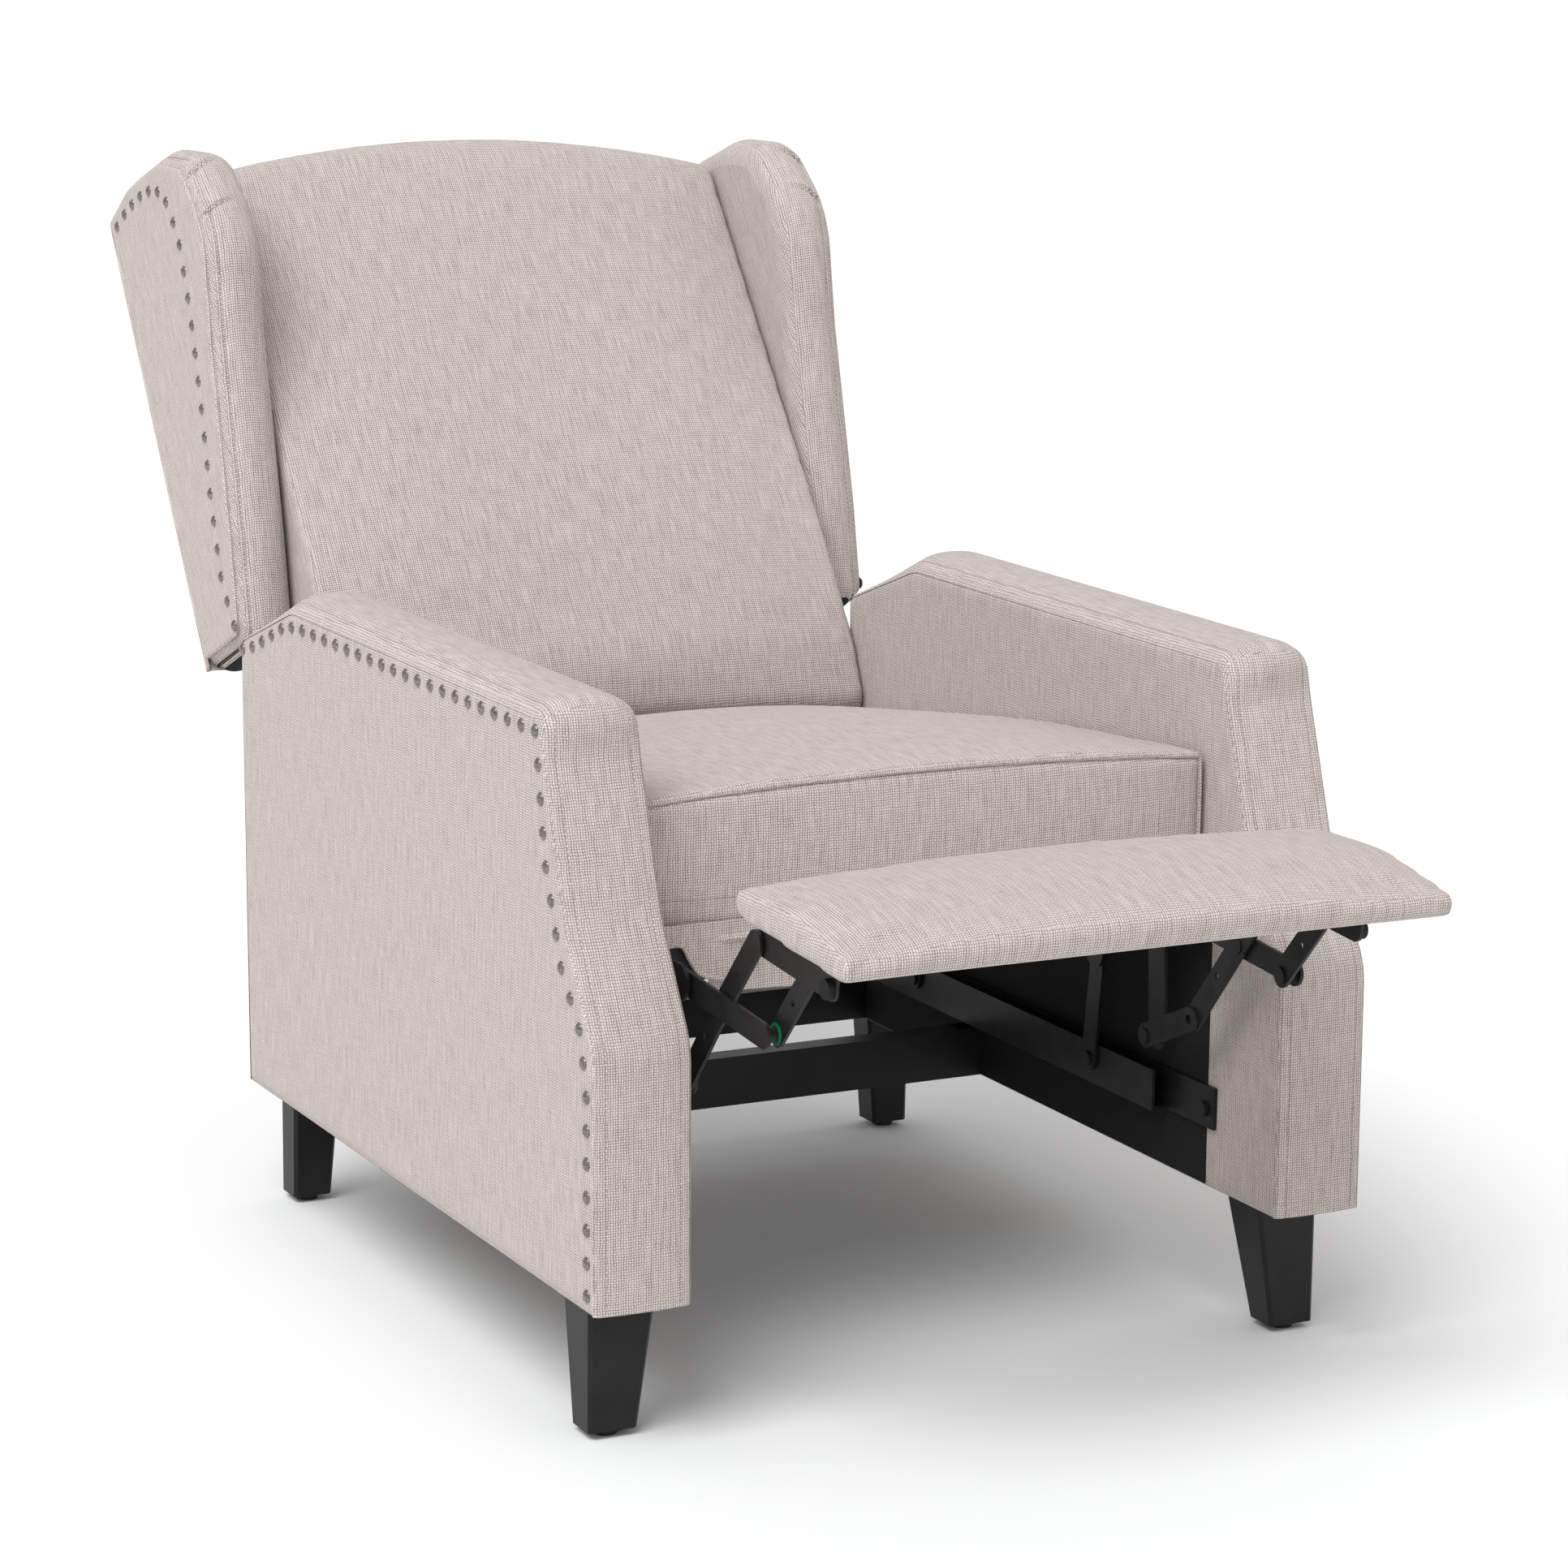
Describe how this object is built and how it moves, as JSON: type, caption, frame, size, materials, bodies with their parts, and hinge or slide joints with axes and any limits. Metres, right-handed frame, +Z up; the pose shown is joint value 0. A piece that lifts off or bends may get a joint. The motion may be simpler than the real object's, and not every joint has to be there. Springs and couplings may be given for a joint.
{
  "type": "wingback recliner",
  "caption": "Push-back wing chair that reclines, with nail-head trim, a padded seat and back, tapered legs and a footrest on folding steel links.",
  "frame": {"origin": "on the floor, at the middle of the footprint with the footrest out", "axes": "+X the sitter's left, -Y the front, +Z up"},
  "size_m": [0.706, 1.4626, 0.939],
  "materials": {
    "upholstery_fabric": "slubbed linen weave",
    "lining_cloth": "thin black nonwoven",
    "frame_wood": "raw timber and plywood",
    "nail_metal": "pewter coloured nail heads",
    "leg_wood": "black satin lacquer",
    "glide_plastic": "black plastic",
    "bolt_steel": "zinc plated",
    "spring_steel": "oiled spring wire",
    "washer_plastic": "green nylon",
    "bumper_rubber": "black rubber",
    "mechanism_steel": "black powder coat"
  },
  "bodies": {
    "base": {"arm_frame_left": "frame_wood", "arm_frame_right": "frame_wood", "arm_upholstery_left": "upholstery_fabric", "arm_upholstery_right": "upholstery_fabric", "arm_lining_left": "lining_cloth", "arm_lining_right": "lining_cloth", "arm_nails": "nail_metal", "leg_front_left": "leg_wood", "leg_front_right": "leg_wood", "leg_rear_left": "leg_wood", "leg_rear_right": "leg_wood", "leg_bolts": "bolt_steel", "leg_glides": "glide_plastic", "base_rail_bolts": "bolt_steel", "mid_cross_rail": "leg_wood", "rear_cross_rail": "leg_wood", "base_rail_left": "mechanism_steel", "base_rail_right": "mechanism_steel"},
    "seat": {"seat_plate_left": "mechanism_steel", "seat_plate_right": "mechanism_steel", "seat_cross_tube": "mechanism_steel", "seat_frame": "frame_wood", "seat_plate_bolts": "bolt_steel", "seat_springs": "spring_steel", "seat_cushion": "upholstery_fabric", "seat_apron": "upholstery_fabric"},
    "footrest": {"footrest_bracket_left": "mechanism_steel", "footrest_bracket_right": "mechanism_steel", "bracket_washers": "washer_plastic", "footrest_screws": "bolt_steel", "footrest_bumpers": "bumper_rubber", "footrest_board": "frame_wood", "footrest_pad": "upholstery_fabric"},
    "back": {"back_springs": "spring_steel", "back_bracket_left": "mechanism_steel", "back_bracket_right": "mechanism_steel", "back_bracket_bolts": "bolt_steel", "back_frame": "frame_wood", "back_cushion": "upholstery_fabric", "back_outer_panel": "upholstery_fabric", "back_underside_cloth": "lining_cloth", "wing_frame_left": "frame_wood", "wing_frame_right": "frame_wood", "wing_upholstery_left": "upholstery_fabric", "wing_upholstery_right": "upholstery_fabric", "wing_nails": "nail_metal"},
    "swing_link_front_left": {"swing_link_front_left": "mechanism_steel"},
    "swing_link_rear_left": {"swing_link_rear_left": "mechanism_steel"},
    "drive_link_left": {"footrest_drive_link_left": "mechanism_steel", "footrest_washers_left": "washer_plastic"},
    "cross_link_left": {"footrest_cross_link_left": "mechanism_steel"},
    "tip_link_left": {"footrest_tip_link_left": "mechanism_steel"},
    "control_link_left": {"footrest_control_link_left": "mechanism_steel"},
    "swing_link_front_right": {"swing_link_front_right": "mechanism_steel"},
    "swing_link_rear_right": {"swing_link_rear_right": "mechanism_steel"},
    "drive_link_right": {"footrest_drive_link_right": "mechanism_steel", "footrest_washers_right": "washer_plastic"},
    "cross_link_right": {"footrest_cross_link_right": "mechanism_steel"},
    "tip_link_right": {"footrest_tip_link_right": "mechanism_steel"},
    "control_link_right": {"footrest_control_link_right": "mechanism_steel"}
  },
  "joints": [
    {"name": "footrest_fold", "type": "hinge", "parent": "seat", "child": "drive_link_left", "pos_m": [0, -0.40579, 0.352], "axis": [1, 0, 0], "range_deg": [0, 84]},
    {"name": "back_recline", "type": "hinge", "parent": "seat", "child": "back", "pos_m": [0, 0.23821, 0.385], "axis": [-1, 0, 0], "range_deg": [-12, 18]},
    {"name": "swing_rear_left", "type": "hinge", "parent": "base", "child": "swing_link_rear_left", "pos_m": [0, 0.10571, 0.19], "axis": [1, 0, 0], "range_deg": [-14.4, 0]},
    {"name": "seat_glide", "type": "hinge", "parent": "swing_link_rear_left", "child": "seat", "pos_m": [0, 0.09318, 0.28921], "axis": [1, 0, 0], "range_deg": [0, 14.4]},
    {"name": "swing_front_left", "type": "hinge", "parent": "base", "child": "swing_link_front_left", "pos_m": [0, -0.21429, 0.19], "axis": [1, 0, 0], "range_deg": [-14.4, 0]},
    {"name": "swing_front_right", "type": "hinge", "parent": "base", "child": "swing_link_front_right", "pos_m": [0, -0.21429, 0.19], "axis": [1, 0, 0], "range_deg": [-14.4, 0]},
    {"name": "swing_rear_right", "type": "hinge", "parent": "base", "child": "swing_link_rear_right", "pos_m": [0, 0.10571, 0.19], "axis": [1, 0, 0], "range_deg": [-14.4, 0]},
    {"name": "drive_right", "type": "hinge", "parent": "seat", "child": "drive_link_right", "pos_m": [0, -0.40579, 0.352], "axis": [1, 0, 0], "range_deg": [0, 84]},
    {"name": "cross_left", "type": "hinge", "parent": "drive_link_left", "child": "cross_link_left", "pos_m": [0, -0.4666, 0.34721], "axis": [1, 0, 0], "range_deg": [-112, 0]},
    {"name": "tip_left", "type": "hinge", "parent": "drive_link_left", "child": "tip_link_left", "pos_m": [0, -0.54436, 0.34109], "axis": [1, 0, 0], "range_deg": [-112, 0]},
    {"name": "control_left", "type": "hinge", "parent": "seat", "child": "control_link_left", "pos_m": [0, -0.33329, 0.2403], "axis": [1, 0, 0], "range_deg": [0, 66.2]},
    {"name": "cross_right", "type": "hinge", "parent": "drive_link_right", "child": "cross_link_right", "pos_m": [0, -0.4666, 0.34721], "axis": [1, 0, 0], "range_deg": [-112, 0]},
    {"name": "tip_right", "type": "hinge", "parent": "drive_link_right", "child": "tip_link_right", "pos_m": [0, -0.54436, 0.34109], "axis": [1, 0, 0], "range_deg": [-112, 0]},
    {"name": "control_right", "type": "hinge", "parent": "seat", "child": "control_link_right", "pos_m": [0, -0.33329, 0.2403], "axis": [1, 0, 0], "range_deg": [0, 66.2]},
    {"name": "footrest_tilt", "type": "hinge", "parent": "cross_link_left", "child": "footrest", "pos_m": [0, -0.522, 0.40767], "axis": [1, 0, 0], "range_deg": [0, 112]}
  ],
  "couplings": [
    {"joint": "swing_rear_left", "follows": "footrest_fold", "ratio": -0.17143},
    {"joint": "seat_glide", "follows": "footrest_fold", "ratio": 0.17143},
    {"joint": "swing_front_left", "follows": "footrest_fold", "ratio": -0.17143},
    {"joint": "swing_front_right", "follows": "footrest_fold", "ratio": -0.17143},
    {"joint": "swing_rear_right", "follows": "footrest_fold", "ratio": -0.17143},
    {"joint": "drive_right", "follows": "footrest_fold", "ratio": 1},
    {"joint": "cross_left", "follows": "footrest_fold", "ratio": -1.3333},
    {"joint": "tip_left", "follows": "footrest_fold", "ratio": -1.3333},
    {"joint": "control_left", "follows": "footrest_fold", "ratio": 0.787},
    {"joint": "cross_right", "follows": "footrest_fold", "ratio": -1.3333},
    {"joint": "tip_right", "follows": "footrest_fold", "ratio": -1.3333},
    {"joint": "control_right", "follows": "footrest_fold", "ratio": 0.787},
    {"joint": "footrest_tilt", "follows": "footrest_fold", "ratio": 1.3333}
  ]
}
